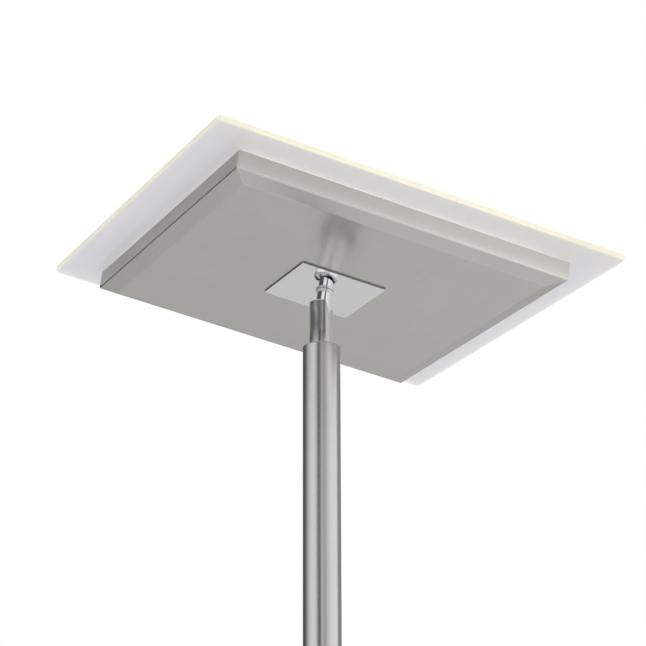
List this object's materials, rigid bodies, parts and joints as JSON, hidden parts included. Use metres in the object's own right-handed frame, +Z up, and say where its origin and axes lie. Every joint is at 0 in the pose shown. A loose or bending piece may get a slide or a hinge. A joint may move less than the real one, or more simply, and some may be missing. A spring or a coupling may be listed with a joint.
{
  "type": "torchiere floor lamp",
  "caption": "Floor-standing uplight: square glass plate over a shallow bevelled metal head on a ball joint, slim round pole with a push and turn dimmer, weighted square base.",
  "frame": {"origin": "underside of the felt pad, on the axis of the pole", "axes": "+Z up along the pole; +Y is the tilt axis of the head; the head hangs lower towards +X; the dimmer knob faces -Y"},
  "size_m": [0.2869, 0.29, 1.8226],
  "materials": {
    "brushed_nickel": "satin brushed nickel plate",
    "polished_chrome": "polished chrome plate",
    "satin_glass": "satin glass with polished edges",
    "clear_silicone": "translucent silicone",
    "opal_acrylic": "opal, satin",
    "white_plastic": "moulded, matte",
    "bare_aluminium": "rolled sheet",
    "board_white": "white solder mask",
    "board_green": "green solder mask",
    "led_phosphor": "yellow phosphor",
    "zinc_steel": "zinc plated",
    "spring_steel": "blued",
    "nylon": "natural nylon",
    "lead_sheath": "smooth white sheath",
    "wire_blue": "smooth insulation",
    "black_plastic": "moulded, fine texture",
    "component_dark": "moulded",
    "cast_iron": "as cast, black primer",
    "black_steel": "black powder coat",
    "black_felt": "pressed felt"
  },
  "bodies": {
    "stand": {"pole_lower": "brushed_nickel", "pole_middle": "brushed_nickel", "pole_upper": "brushed_nickel", "pole_cap": "brushed_nickel", "dimmer_housing": "brushed_nickel", "base_cover": "brushed_nickel", "joint_socket": "polished_chrome", "mains_terminal": "white_plastic", "driver_board": "board_green", "dimmer_board": "board_green", "joint_plug": "zinc_steel", "joint_nipple": "zinc_steel", "nipple_nut": "zinc_steel", "pole_inserts": "zinc_steel", "pole_studs": "zinc_steel", "dimmer_plugs": "zinc_steel", "bush_nut": "zinc_steel", "base_screws": "zinc_steel", "base_stud": "zinc_steel", "base_washer": "zinc_steel", "base_nut": "zinc_steel", "disc_springs": "spring_steel", "lower_lead": "lead_sheath", "upper_lead": "lead_sheath", "mains_wires": "wire_blue", "dimmer_encoder": "black_plastic", "cord_gland": "black_plastic", "gland_nut": "black_plastic", "driver_case": "black_plastic", "driver_lid": "black_plastic", "driver_transformer": "component_dark", "driver_capacitors": "component_dark", "base_weight": "cast_iron", "base_plate": "black_steel", "base_felt": "black_felt"},
    "dimmer_switch": {"dimmer_plunger": "nylon"},
    "dimmer_dial": {"dimmer_shaft": "zinc_steel", "dimmer_knob": "brushed_nickel"},
    "seat": {"joint_seat": "nylon"},
    "stem": {"ball_stem": "polished_chrome"},
    "head": {"glass_plate": "satin_glass", "glass_gasket": "clear_silicone", "head_housing": "brushed_nickel", "standoffs": "zinc_steel", "led_carrier": "bare_aluminium", "led_board": "board_white", "led_chips": "led_phosphor", "led_connector": "white_plastic", "carrier_screws": "zinc_steel", "reflector": "white_plastic", "diffuser": "opal_acrylic", "cover_plate": "polished_chrome", "mounting_plate": "zinc_steel", "plate_nuts": "zinc_steel", "neck_tube": "polished_chrome", "neck_collar": "polished_chrome", "lock_washer": "zinc_steel", "neck_nut": "zinc_steel", "head_lead": "lead_sheath"}
  },
  "joints": [
    {"name": "dimmer_push", "type": "slide", "parent": "stand", "child": "dimmer_switch", "axis": [0, 1, 0], "range_m": [0, 0.0006], "stiffness_N_per_m": 2500, "springref_m": -0.0006},
    {"name": "dimmer_turn", "type": "hinge", "parent": "dimmer_switch", "child": "dimmer_dial", "pos_m": [0, 0, 1.138], "axis": [0, -1, 0], "range_deg": [-150, 150]},
    {"name": "tilt_direction", "type": "hinge", "parent": "stand", "child": "seat", "pos_m": [0, 0, 1.7625], "axis": [0, 0, 1], "range_deg": [-90, 90]},
    {"name": "head_tilt", "type": "hinge", "parent": "seat", "child": "stem", "pos_m": [0, 0, 1.7625], "axis": [0, 1, 0], "range_deg": [-24, 6]},
    {"name": "head_turn", "type": "hinge", "parent": "stem", "child": "head", "pos_m": [0, 0, 1.7625], "axis": [0.1564, 0, 0.9877], "range_deg": [-80, 80]}
  ]
}
